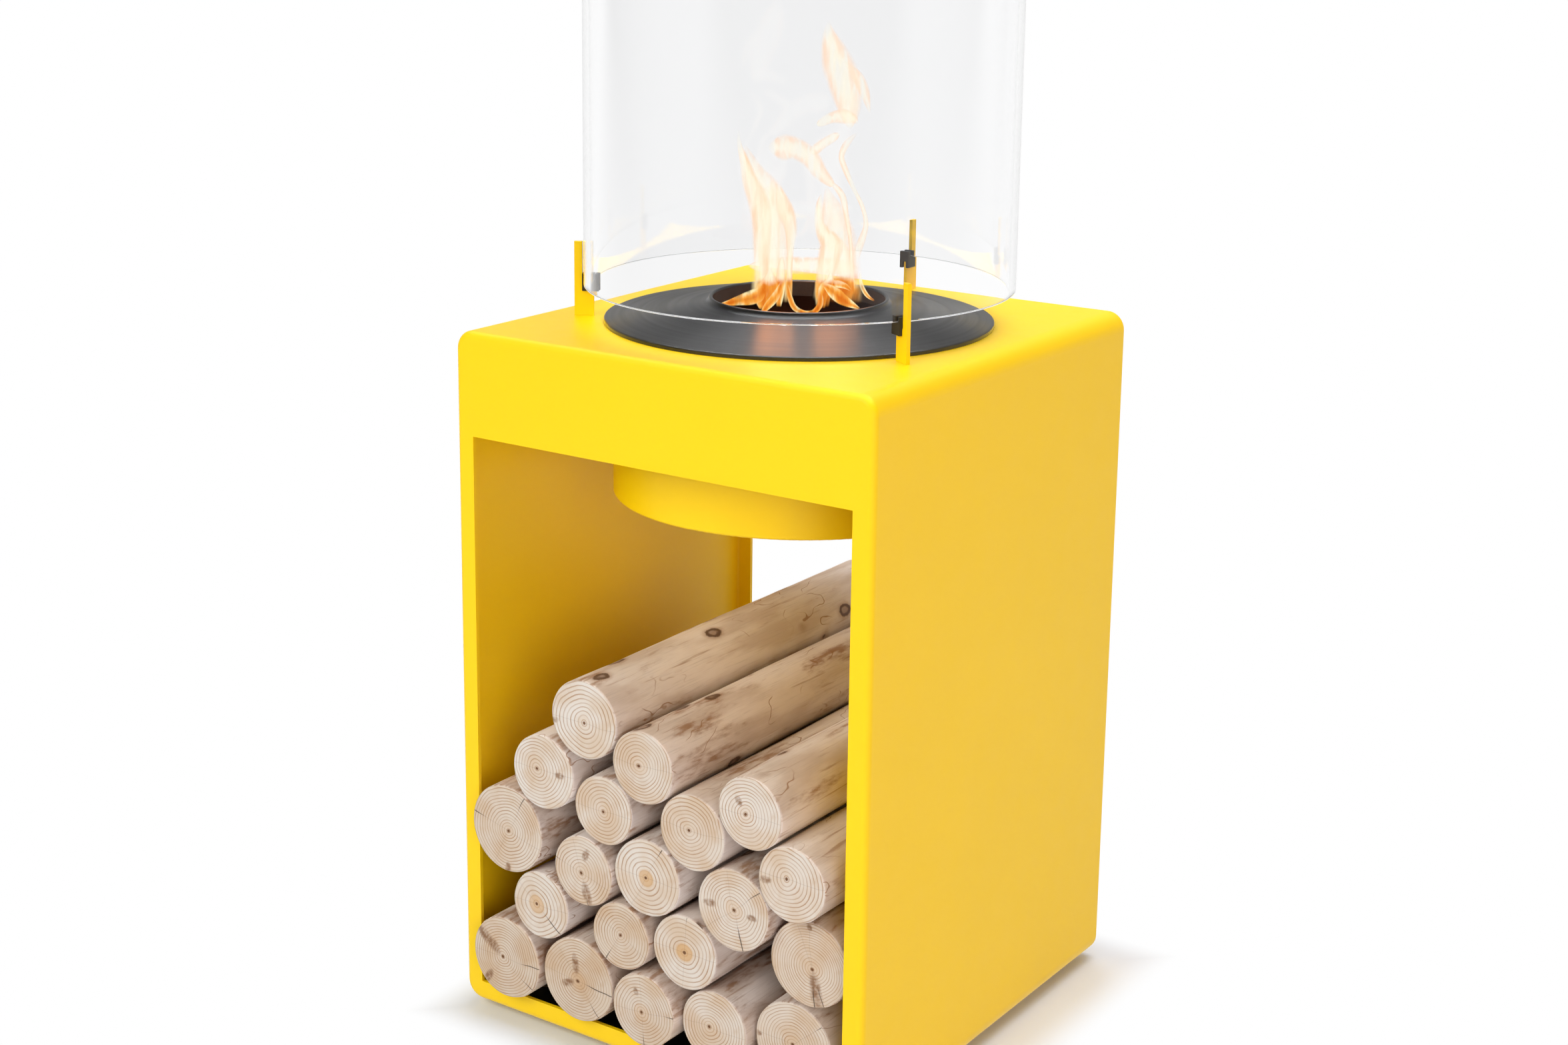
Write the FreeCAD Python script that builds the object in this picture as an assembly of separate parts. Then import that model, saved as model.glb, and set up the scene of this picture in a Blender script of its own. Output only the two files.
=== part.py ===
"""Free-standing fireplace: a square sheet-steel housing with a log store below,
a round lift-out burner on top and a glass screen standing on three posts.

Millimetres. +Z is up, the front faces -Y, and the origin is on the floor under the middle."""
import FreeCAD, Part
import math
import os

V = FreeCAD.Vector

# Share of the collar's wall that its rounded lip takes on each side
COLLAR_ROUNDING = 0.45

# Glass screen
glass_radius = 159.5
glass_wall = 5.0
glass_height = 400.0
glass_above_top = 28.0
glass_edge_radius = 0.8

# Posts and saddles that carry the glass
post_count = 3
post_first_angle = 90.0
post_thickness = 3.0
post_arm_width = 6.0
post_arm_height = 32.0
post_ledge_inset = 1.0
post_tongue_inset = 2.5
post_edge_radius = 0.4
saddle_inner_leg = 3.2
saddle_outer_leg = 2.1
saddle_cheek = 2.35
saddle_web = 4.0
saddle_skirt = 5.0
saddle_lip = 4.0

# Housing: square in plan, as wide as the ring of posts needs
post_to_edge = 11.95
body_height = 526.5
sheet = 3.0
corner_bend = 11.0
edge_bend = 2.0
rim_width = 16.0
apron_height = 78.0

# Feet
foot_height = 6.0
foot_radius = 15.0
foot_inset = 45.0
foot_chamfer = 1.5
foot_stud_radius = 3.0
foot_nut_flats = 10.0
foot_nut_height = 5.0
foot_stud_past_nut = 2.0

# Floor mat under the logs
mat_thickness = 2.0
mat_margin = 2.0

# Burner
plate_to_saddle = 6.3
plate_lap = 13.0
plate_edge = 3.0
plate_rise = 12.0
plate_sheet = 2.2
collar_radius = 67.0
collar_wall = 3.0
collar_lip = 4.0
collar_drop = 6.0
tank_wall = 1.5
tank_depth = 95.0
weld_ring_width = 3.2
weld_ring_drop = 1.0
absorber_height = 35.0
cover_thickness = 1.0
cover_hole_radius = 4.0
cover_hole_pitch = 16.0
cover_rings = 4

# Burner well
well_to_tank = 4.8
well_under_tank = 33.5
well_wall = 1.5
well_flange = 14.0
well_bend = 1.0
stud_count = 6
stud_radius = 2.5
stud_past_nut = 2.0
stud_nut_flats = 8.0
stud_nut_height = 4.0

# Clearances
fit_gap = 0.3
slot_gap = 0.15
thread_gap = 0.15
log_gap = 0.4

# Logs: name, diameter, what it leans on at the left, at the right, and how far its front
# and rear ends stand proud of the housing. The bottom row leaves a little of the store free,
# and all diameters follow the store's width together.
row_spare = 13.0
log_end_chamfer = 1.2
LOGS = (
    ("log_01", 66.0, "left_rim", "floor", 10.0, 6.0),
    ("log_02", 67.0, "log_01", "floor", 7.0, 7.0),
    ("log_03", 57.0, "log_02", "floor", 9.0, 4.0),
    ("log_04", 58.0, "log_03", "floor", 1.0, 1.0),
    ("log_05", 65.0, "log_04", "floor", -8.0, -10.0),
    ("log_06", 54.0, "log_01", "log_02", 8.0, 8.0),
    ("log_07", 53.0, "log_02", "log_03", 6.0, 5.0),
    ("log_08", 57.5, "log_07", "log_04", 3.0, 3.0),
    ("log_09", 66.0, "log_05", "right_rim", -8.0, -8.0),
    ("log_10", 69.0, "left_rim", "log_06", 9.0, 2.0),
    ("log_11", 55.0, "log_06", "log_07", 7.0, 6.0),
    ("log_12", 60.0, "log_11", "log_08", 5.0, 10.0),
    ("log_13", 62.5, "log_08", "log_09", 2.0, 4.0),
    ("log_14", 57.0, "log_13", "log_09", 4.0, 1.0),
    ("log_15", 54.0, "log_11", "log_12", 6.0, 7.0),
    ("log_16", 58.0, "log_12", "log_13", 4.0, 5.0),
    ("log_17", 58.5, "log_10", "log_15", 9.0, 3.0),
    ("log_18", 56.0, "log_15", "log_16", 7.0, 6.0),
    ("log_19", 55.0, "log_16", "log_14", 5.0, 4.0),
    ("log_20", 61.0, "log_17", "log_18", 6.0, 8.0),
)

# Places that follow from the sizes above
glass_inner = glass_radius - glass_wall
saddle_outer = glass_radius + fit_gap + saddle_outer_leg
saddle_inner = glass_inner - fit_gap - saddle_inner_leg
post_arm_inner = saddle_outer + slot_gap
post_outer = post_arm_inner + post_arm_width
post_ledge_inner = glass_inner - post_ledge_inset
post_angles = [post_first_angle + i * 360.0 / post_count for i in range(post_count)]
half_width = post_outer + post_to_edge
half_depth = half_width
body_depth = 2 * half_depth
floor_z = foot_height
top_z = floor_z + body_height
under_top_z = top_z - sheet
sill_z = floor_z + rim_width
glass_z = top_z + glass_above_top
ledge_z = glass_z - saddle_web
plate_radius = saddle_inner - plate_to_saddle
collar_base_z = top_z + plate_edge + plate_rise
collar_top_z = collar_base_z + collar_lip
tank_radius = plate_radius - plate_lap
burner_hole_radius = tank_radius + fit_gap
tank_floor_z = top_z - tank_depth
absorber_z = tank_floor_z + tank_wall
cover_z = absorber_z + absorber_height
well_inner = tank_radius + well_to_tank
well_radius = well_inner + well_wall
well_bottom_z = tank_floor_z - well_under_tank - well_wall
well_flange_radius = well_radius + well_flange
stud_circle = well_radius + well_flange / 2
foot_x = half_width - foot_inset
foot_y = half_depth - foot_inset
foot_places = [(sx * foot_x, sy * foot_y) for sy in (-1, 1) for sx in (-1, 1)]


def box(x0, x1, y0, y1, z0, z1):
    return Part.makeBox(x1 - x0, y1 - y0, z1 - z0, V(x0, y0, z0))


def disc(radius, z0, z1, x=0.0, y=0.0):
    return Part.makeCylinder(radius, z1 - z0, V(x, y, z0))


def ring(outer, inner, z0, z1):
    return disc(outer, z0, z1).cut(disc(inner, z0, z1))


def revolve(points):
    """Solid of revolution about Z from an (r, z) outline."""
    wire = Part.makePolygon([V(r, 0, z) for r, z in points + points[:1]])
    return Part.Face(wire).revolve(V(0, 0, 0), V(0, 0, 1), 360)


def turned(shape, angle):
    """A copy turned about the Z axis."""
    copy = shape.copy()
    copy.rotate(V(0, 0, 0), V(0, 0, 1), angle)
    return copy


def hex_nut(flats, hole_radius, z0, z1):
    corner = flats / math.sqrt(3)
    points = [V(corner * math.cos(math.radians(60 * i)), corner * math.sin(math.radians(60 * i)), z0)
              for i in range(7)]
    body = Part.Face(Part.makePolygon(points)).extrude(V(0, 0, z1 - z0))
    return body.cut(disc(hole_radius, z0, z1))


def rounded_block(x, y, z0, z1, radius, edge):
    """Block with its edges along Y rounded, and its front and rear outlines softened."""
    block = box(-x, x, -y, y, z0, z1)
    along = [e for e in block.Edges if abs(e.BoundBox.YLength - 2 * y) < 1e-6]
    block = block.makeFillet(radius, along)
    ends = [e for e in block.Edges if e.BoundBox.YLength < 1e-6]
    return block.makeFillet(edge, ends)


def circle_edges(shape, heights):
    return [e for e in shape.Edges
            if e.BoundBox.ZLength < 1e-6 and any(abs(e.BoundBox.ZMin - z) < 1e-6 for z in heights)]


def housing_shell():
    shell = rounded_block(half_width, half_depth, floor_z, top_z, corner_bend + sheet, edge_bend + sheet)
    hollow = rounded_block(half_width - sheet, half_depth - sheet, floor_z + sheet, under_top_z,
                           corner_bend, edge_bend)
    shell = shell.cut(hollow)
    opening_x = half_width - rim_width
    shell = shell.cut(box(-opening_x, opening_x, -body_depth, body_depth, sill_z, top_z - apron_height))
    shell = shell.cut(disc(burner_hole_radius, under_top_z - sheet, top_z + sheet))
    for angle in post_angles:
        shell = shell.cut(turned(post_tongue(slot_gap), angle))
    for x, y in foot_places:
        shell = shell.cut(disc(foot_stud_radius + thread_gap, floor_z - sheet, floor_z + 2 * sheet, x, y))
    return shell


def burner_well():
    inner_floor_z = well_bottom_z + well_wall
    cup = disc(well_radius, well_bottom_z, under_top_z)
    cup = cup.makeFillet(well_bend + well_wall, circle_edges(cup, [well_bottom_z]))
    inside = disc(well_inner, inner_floor_z, under_top_z)
    inside = inside.makeFillet(well_bend, circle_edges(inside, [inner_floor_z]))
    cup = cup.fuse(disc(well_flange_radius, under_top_z - well_wall, under_top_z)).cut(inside)
    for x, y in stud_places():
        cup = cup.cut(disc(stud_radius + thread_gap, well_bottom_z, top_z, x, y))
    return cup.removeSplitter()


def stud_places():
    angles = [math.radians(i * 360.0 / stud_count) for i in range(stud_count)]
    return [(stud_circle * math.cos(a), stud_circle * math.sin(a)) for a in angles]


def well_stud_set():
    end_z = under_top_z - well_wall - stud_nut_height - stud_past_nut
    return Part.makeCompound([disc(stud_radius, end_z, under_top_z, x, y) for x, y in stud_places()])


def well_nut_set():
    seat = under_top_z - well_wall
    nut = hex_nut(stud_nut_flats, stud_radius + thread_gap, seat - stud_nut_height, seat)
    return Part.makeCompound([nut.translated(V(x, y, 0)) for x, y in stud_places()])


def levelling_foot(x, y):
    pad = disc(foot_radius, 0, floor_z, x, y)
    pad = pad.makeChamfer(foot_chamfer, circle_edges(pad, [0]))
    stud_end_z = floor_z + sheet + foot_nut_height + foot_stud_past_nut
    return pad.fuse(disc(foot_stud_radius, floor_z, stud_end_z, x, y))


def foot_nut_set():
    seat = floor_z + sheet
    nut = hex_nut(foot_nut_flats, foot_stud_radius + thread_gap, seat, seat + foot_nut_height)
    return Part.makeCompound([nut.translated(V(x, y, 0)) for x, y in foot_places])


def floor_mat():
    x = half_width - sheet - corner_bend - mat_margin
    y = half_depth - sheet - edge_bend - mat_margin
    z = floor_z + sheet
    mat = box(-x, x, -y, y, z, z + mat_thickness)
    for nut_x, nut_y in foot_places:
        mat = mat.cut(disc(foot_nut_flats / math.sqrt(3) + mat_margin, z, z + mat_thickness, nut_x, nut_y))
    return mat


def post_tongue(gap):
    """Tab that passes through the top, with the gap round it when it cuts the slot."""
    side = post_thickness / 2 + gap
    return box(post_ledge_inner + post_tongue_inset - gap, post_outer - post_tongue_inset + gap,
               -side, side, under_top_z, top_z)


def glass_post(angle):
    side = post_thickness / 2
    arm_z = ledge_z + post_arm_height
    outline = [(post_ledge_inner, top_z), (post_outer, top_z), (post_outer, arm_z),
               (post_arm_inner, arm_z), (post_arm_inner, ledge_z), (post_ledge_inner, ledge_z)]
    wire = Part.makePolygon([V(r, -side, z) for r, z in outline + outline[:1]])
    plate = Part.Face(wire).extrude(V(0, post_thickness, 0))
    soft = [e for e in plate.Edges if e.BoundBox.YLength < 1e-6 and e.BoundBox.ZMin > top_z + 1e-6
            and e.BoundBox.ZMax > ledge_z + 1e-6]
    plate = plate.makeFillet(post_edge_radius, soft)
    return turned(plate.fuse(post_tongue(0)), angle)


def glass_saddle(angle):
    slot = post_thickness / 2 + slot_gap
    side = slot + saddle_cheek
    block = box(saddle_inner, saddle_outer, -side, side, ledge_z - saddle_skirt, glass_z + saddle_lip)
    block = block.cut(box(saddle_inner, saddle_outer, -slot, slot, ledge_z - saddle_skirt, ledge_z))
    groove = ring(glass_radius + fit_gap, glass_inner - fit_gap, glass_z, glass_z + 2 * saddle_lip)
    return turned(block.cut(groove), angle)


def glass_screen():
    tube = ring(glass_radius, glass_inner, glass_z, glass_z + glass_height)
    return tube.makeFillet(glass_edge_radius, circle_edges(tube, [glass_z, glass_z + glass_height]))


def plate_height(r):
    """Height of the burner plate's upper face above the top, at radius r on its cone."""
    return plate_edge + plate_rise * (plate_radius - r) / (plate_radius - collar_radius)


def burner_top_plate():
    mouth = collar_radius - collar_wall
    mouth_z = collar_base_z - plate_sheet - collar_drop
    ring_inner = tank_radius - weld_ring_width
    rim_inner = plate_radius - plate_sheet
    plate = revolve([
        (rim_inner, top_z), (plate_radius, top_z), (plate_radius, top_z + plate_edge),
        (collar_radius, collar_base_z), (collar_radius, collar_top_z), (mouth, collar_top_z),
        (mouth, mouth_z), (collar_radius, mouth_z), (collar_radius, plate_under(collar_radius)),
        (ring_inner, plate_under(ring_inner)), (ring_inner, weld_ring_z()), (tank_radius, weld_ring_z()),
        (tank_radius, plate_under(tank_radius)), (rim_inner, plate_under(rim_inner))])
    return plate.makeFillet(collar_wall * COLLAR_ROUNDING, circle_edges(plate, [collar_top_z]))


def plate_under(r):
    return top_z + plate_height(r) - plate_sheet


def weld_ring_z():
    return plate_under(tank_radius) - weld_ring_drop


def burner_tank():
    cup = disc(tank_radius, tank_floor_z, weld_ring_z())
    return cup.cut(disc(tank_radius - tank_wall, absorber_z, weld_ring_z()))


def absorber_pad():
    return disc(tank_radius - tank_wall - fit_gap, absorber_z, cover_z)


def perforated_cover():
    cover = disc(tank_radius - tank_wall - fit_gap, cover_z, cover_z + cover_thickness)
    holes = []
    for row in range(1, cover_rings + 1):
        for i in range(6 * row):
            angle = math.radians(360.0 * i / (6 * row))
            reach = row * cover_hole_pitch
            holes.append(disc(cover_hole_radius, cover_z - cover_thickness, cover_z + 2 * cover_thickness,
                              reach * math.cos(angle), reach * math.sin(angle)))
    return cover.cut(Part.makeCompound(holes))


def rest_on(left, right, radius):
    """Centre of a log lying in the hollow between two others, each given as (x, z, radius)."""
    x0, z0, r0 = left
    x1, z1, r1 = right
    reach0 = r0 + radius + log_gap
    reach1 = r1 + radius + log_gap
    span = math.hypot(x1 - x0, z1 - z0)
    along = (reach0 ** 2 - reach1 ** 2 + span ** 2) / (2 * span)
    rise = math.sqrt(reach0 ** 2 - along ** 2)
    ux, uz = (x1 - x0) / span, (z1 - z0) / span
    return x0 + along * ux - rise * uz, z0 + along * uz + rise * ux


def lean(other, radius, x):
    """Height of a log that lies on another and touches a rim, which fixes its x."""
    x0, z0, r0 = other
    return z0 + math.sqrt((r0 + radius + log_gap) ** 2 - (x - x0) ** 2)


def log_scale():
    """Factor on every log's diameter that fits the bottom row to the store's width."""
    row = [diameter / 2 for name, diameter, left, right, *ends in LOGS if right == "floor"]
    natural = row[0] + sum(2 * math.sqrt(a * b) for a, b in zip(row, row[1:])) + row[-1]
    return (2 * (half_width - rim_width) - row_spare - (len(row) + 1) * log_gap) / natural


def stack():
    """Name to (x, z, radius) for every log, from the sill upwards."""
    rim_x = half_width - rim_width - log_gap
    scale = log_scale()
    places = {}
    for name, diameter, left, right, *ends in LOGS:
        radius = diameter / 2 * scale
        sill = sill_z + log_gap + radius
        if left == "left_rim" and right == "floor":
            x, z = radius - rim_x, sill
        elif right == "floor":
            x0, z0, r0 = places[left]
            x, z = x0 + math.sqrt((r0 + radius + log_gap) ** 2 - (sill - z0) ** 2), sill
        elif left == "left_rim":
            x = radius - rim_x
            z = lean(places[right], radius, x)
        elif right == "right_rim":
            x = rim_x - radius
            z = lean(places[left], radius, x)
        else:
            x, z = rest_on(places[left], places[right], radius)
        places[name] = (x, z, radius)
    return places


def log(x, z, radius, front_proud, rear_proud):
    length = body_depth + front_proud + rear_proud
    trunk = Part.makeCylinder(radius, length, V(x, -half_depth - front_proud, z), V(0, 1, 0))
    rims = [e for e in trunk.Edges if e.BoundBox.YLength < 1e-6]
    return trunk.makeChamfer(log_end_chamfer, rims)


def main():
    nodes = {
        "housing_shell": housing_shell(),
        "burner_well": burner_well(),
        "well_stud_set": well_stud_set(),
        "well_nut_set": well_nut_set(),
        "foot_nut_set": foot_nut_set(),
        "floor_mat": floor_mat(),
        "glass_screen": glass_screen(),
        "burner_top_plate": burner_top_plate(),
        "burner_tank": burner_tank(),
        "absorber_pad": absorber_pad(),
        "perforated_cover": perforated_cover(),
    }
    for corner, (x, y) in zip(("front_left", "front_right", "rear_left", "rear_right"), foot_places):
        nodes["foot_" + corner] = levelling_foot(x, y)
    for i, angle in enumerate(post_angles, 1):
        nodes["glass_post_%d" % i] = glass_post(angle)
        nodes["glass_saddle_%d" % i] = glass_saddle(angle)
    places = stack()
    for name, diameter, left, right, front_proud, rear_proud in LOGS:
        x, z, radius = places[name]
        nodes[name] = log(x, z, radius, front_proud, rear_proud)
    os.makedirs("parts", exist_ok=True)
    for name, shape in nodes.items():
        shape.exportStep("parts/%s.step" % name)
        print(name, "valid" if shape.isValid() else "INVALID", len(shape.Solids), round(shape.Volume))


main()
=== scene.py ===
import math
import random
from collections import namedtuple
from functools import partialmethod

import bmesh
import bpy
from bpy.props import FloatProperty, FloatVectorProperty, IntProperty, PointerProperty
from mathutils import Matrix, Vector, noise


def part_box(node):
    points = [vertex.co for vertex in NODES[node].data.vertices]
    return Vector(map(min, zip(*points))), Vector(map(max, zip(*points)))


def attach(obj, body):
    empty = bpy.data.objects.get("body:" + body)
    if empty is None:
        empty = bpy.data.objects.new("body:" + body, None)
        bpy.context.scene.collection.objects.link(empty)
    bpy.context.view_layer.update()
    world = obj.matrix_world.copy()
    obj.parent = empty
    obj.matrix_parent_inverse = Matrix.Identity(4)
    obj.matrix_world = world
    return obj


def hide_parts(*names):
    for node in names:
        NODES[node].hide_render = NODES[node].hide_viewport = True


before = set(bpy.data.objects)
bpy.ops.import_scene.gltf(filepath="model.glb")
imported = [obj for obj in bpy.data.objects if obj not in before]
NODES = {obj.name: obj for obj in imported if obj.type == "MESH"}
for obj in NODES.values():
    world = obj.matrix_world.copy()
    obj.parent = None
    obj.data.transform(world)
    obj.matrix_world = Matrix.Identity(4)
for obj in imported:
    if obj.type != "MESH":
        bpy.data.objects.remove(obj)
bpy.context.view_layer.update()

bl_info = {
    "name": "Fireplace dresser",
    "version": (1, 0, 0),
    "blender": (4, 5, 0),
    "location": "View3D > Sidebar > Fireplace",
    "description": "Finishes a square fireplace with its glass, burner, logs, flames and studio",
    "category": "Object",
}

TOP_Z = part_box("housing_shell")[1].z
MM = 0.001
ROUND_STEPS = 192
WHITE = (1.0, 1.0, 1.0)
BLACK = (0.0, 0.0, 0.0)
# Places closer than this count as one (m)
SAME = 1e-5
# Least part of the normal along Z on the glass's ground edges, and along Y on a log's sawn ends
LEVEL = 0.99
END_ON = 0.9


# Properties

def length(name, description, default):
    return FloatProperty(name=name, description=description, default=default, min=0.0, unit="LENGTH",
                         precision=4)


def colour(name, description, default):
    return FloatVectorProperty(name=name, description=description, default=default, size=3, min=0.0, max=1.0,
                               subtype="COLOR")


def angle(name, description, degrees):
    return FloatProperty(name=name, description=description, default=math.radians(degrees), subtype="ANGLE")


def amount(name, description, default):
    return FloatProperty(name=name, description=description, default=default, min=0.0)


def number(name, description, default):
    return IntProperty(name=name, description=description, default=default, min=1)


class FinishSettings(bpy.types.PropertyGroup):
    """Colours of the metal, the rubber, the felt and the glass."""
    coat: colour("Powder coat", "Housing, well and posts", (0.95, 0.625, 0.0))
    plate: colour("Burner plate", "Dark coated plate", (0.048, 0.048, 0.049))
    # Dark brown steel of the tank and cover, which fill the inside of the burner's mouth
    tank: colour("Sooted steel", "Tank and cover under the flames", (0.06, 0.026, 0.010))
    # Painted shade: near-black for the inside of the collar below the lip, where the burner's mouth lies in
    # shade
    soot: colour("Soot", "Collar inside the mouth", (0.010, 0.008, 0.008))
    zinc: colour("Zinc", "Plated fixings", (0.55, 0.55, 0.54))
    rubber: colour("Rubber", "Saddles, mat and feet", (0.012, 0.012, 0.012))
    felt: colour("Felt", "Absorber pad", (0.72, 0.69, 0.63))
    glass: colour("Glass", "Clearest glass", (0.985, 0.986, 0.988))
    haze: colour("Haze", "Glass under a trace of haze", (0.975, 0.976, 0.979))
    ground: colour("Ground edge", "Pale grain of the glass edges", (0.97, 0.98, 0.98))
    grit: colour("Edge grit", "Dull grain of the glass edges", (0.84, 0.86, 0.86))


class WoodSettings(bpy.types.PropertyGroup):
    """Colours of the pine logs."""
    sapwood: colour("Sawn pine", "Pale wood of the sawn ends", (0.67, 0.615, 0.56))
    stained: colour("Stained pine", "Duller patches of the sawn ends", (0.60, 0.48, 0.37))
    smear: colour("Smears", "Brown smears on the sawn ends", (0.52, 0.38, 0.27))
    latewood: colour("Ring lines", "Dark lines of the growth rings", (0.37, 0.21, 0.10))
    heart: colour("Heartwood", "Warm core round the pith", (0.58, 0.34, 0.14))
    pith: colour("Pith", "Dark middle of the rings", (0.16, 0.07, 0.03))
    knot: colour("Knots", "Branches cut on a sawn end", (0.23, 0.12, 0.06))
    crack: colour("Cracks", "Shade in the drying cracks", (0.06, 0.04, 0.03))
    end_tan: colour("End tan", "Tint of the most weathered end", (0.80, 0.65, 0.47))
    peeled: colour("Peeled side", "Palest wood of the side", (0.86, 0.785, 0.74))
    tanned: colour("Tanned side", "Duller bands of the side", (0.69, 0.59, 0.525))
    bast: colour("Bast", "Remains of the inner bark", (0.34, 0.175, 0.085))
    eye: colour("Knot eyes", "Dark rings of a side's knots", (0.09, 0.045, 0.025))
    # Tint for the darker sides: partly tan of the wood, partly painted shade on the logs low in the pile
    side_tan: colour("Side tan", "Tint of the most weathered side", (0.74, 0.63, 0.52))


class BurnerSettings(bpy.types.PropertyGroup):
    """Sizes of the spun burner plate."""
    collar: length("Collar", "Outer radius of the collar", 0.067)
    mouth: length("Mouth", "Inner radius of the collar", 0.064)
    sheet: length("Sheet", "Thickness of the spun sheet", 0.0022)
    edge: length("Edge", "Height of the outer edge", 0.003)
    hollow: length("Hollow", "Underside's height at the outer edge", 0.001)
    lip: length("Lip", "Height of the collar above the cone", 0.004)
    drop: length("Drop", "Depth of the collar below the cone's top", 0.0082)
    edge_round: length("Edge rounding", "Rounding of the outer edge", 0.001)
    root_round: length("Root rounding", "Rounding at the foot of the collar", 0.003)
    lip_round: length("Lip rounding", "Rounding of the collar's lip", 0.0014)
    rim_support: length("Rim support", "Supporting ring inside the outer edge", 0.0016)
    root_support: length("Root support", "Supporting ring outside the collar", 0.0045)
    soot_start: length("Soot start", "Bare height under the lip", 0.0016)


class GlassSettings(bpy.types.PropertyGroup):
    """Sizes of the glass screen."""
    wall: length("Wall", "Thickness of the glass", 0.005)
    arris: length("Arris", "Width of the polished arrises", 0.0005)


class LogSettings(bpy.types.PropertyGroup):
    """Shape of the logs."""
    seed: number("Seed", "Start of the random draws", 7)
    sides: number("Sides", "Faces round each log", 72)
    stations: number("Stations", "Cuts along each log", 30)
    unevenness: length("Unevenness", "Greatest depth of the dents", 0.0016)
    rim: length("Rim", "Rounding of the sawn ends' edges", 0.0016)
    wobble: length("Ring wobble", "How far the rings are from round", 0.005)


class FlameSettings(bpy.types.PropertyGroup):
    """Shape and light of the flames."""
    rings: number("Rings", "Steps along each tongue", 40)
    sides: number("Sides", "Points round each tongue", 20)
    fullness: amount("Fullness", "Width as a share of the path's width", 1.3)
    flatness: amount("Flatness", "Depth as a share of the width", 0.45)
    thinnest: length("Thinnest", "Least half width of a tongue", 0.0004)
    fade_in: amount("Fade in", "Share of the path that it takes", 0.1)
    fade_out: amount("Fade out", "Share of the path that it takes", 0.2)
    root_top: length("Root top", "Where the roots have turned pale", 0.034)
    root_full: length("Root full", "Where the roots start to turn pale", 0.029)
    glow: amount("Glow", "Strength as seen", 1.15)
    cast: amount("Cast light", "Added strength of the cast light", 5.0)
    mirror: amount("Mirrored light", "Added strength in the dull plate", 8.0)
    base: colour("Root", "Deep orange in the mouth", (0.72, 0.16, 0.008))
    heart: colour("Root rim", "Yellow-orange near the roots' rims", (0.98, 0.42, 0.06))
    spark: colour("Root spark", "Pale yellow rims of the roots", (1.0, 0.84, 0.45))
    image: colour("Mirror image", "Orange brown in the dull plate", (0.95, 0.36, 0.14))
    body: colour("Tongue rim", "Peach of the tongues' rims", (1.0, 0.66, 0.43))
    core: colour("Tongue heart", "Pale cream inside the tongues", (1.0, 0.92, 0.70))


class StudioSettings(bpy.types.PropertyGroup):
    """Camera, floor and backdrop."""
    camera_place: FloatVectorProperty(name="Camera place", description="Where the camera stands", size=3,
                                      subtype="XYZ", unit="LENGTH", default=(0.9552, -1.4378, 0.8752))
    azimuth: angle("Azimuth", "Turn of the view to the right", 35.568)
    elevation: angle("Elevation", "Downward tilt of the view", 12.955)
    roll: angle("Roll", "Turn of the picture about the view", 0.393)
    lens: amount("Lens", "Focal length in mm on a 36 mm sensor", 54.30)
    shift: FloatVectorProperty(name="Shift", description="Shift of the picture's middle", size=2,
                               default=(0.0419, -0.0840))
    aim_height: length("Aim height", "Where all lamps aim", 0.45)
    # Pale blue-grey, which cancels the yellow light that the housing bounces onto the floor
    floor: colour("Floor", "Pale floor", (0.76, 0.785, 0.84))
    floor_reach: length("Floor reach", "Half the floor's width", 40.0)
    # Painted shadow: a square band of the floor round the housing, shifted to the right, gets no white glow,
    # so it stays greyer than the floor past it and also shows the real shadow
    shade_start: length("Shade start", "Where the shadow starts to fade", 0.183)
    shade_end: length("Shade end", "Where the floor is white", 0.224)
    shade_shift: length("Shade shift", "Shadow's shift to the right", 0.012)
    ambient_front: amount("Ambient in front", "Soft light from the front", 0.25)
    ambient_behind: amount("Ambient behind", "Soft light from behind", 0.15)
    reflected_front: amount("Reflected front", "The front in reflections", 0.03)
    reflected_behind: amount("Reflected back", "The backdrop in reflections", 0.5)
    reflected_above: amount("Reflected ceiling", "The ceiling in reflections", 8.0)


# Nodes

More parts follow.
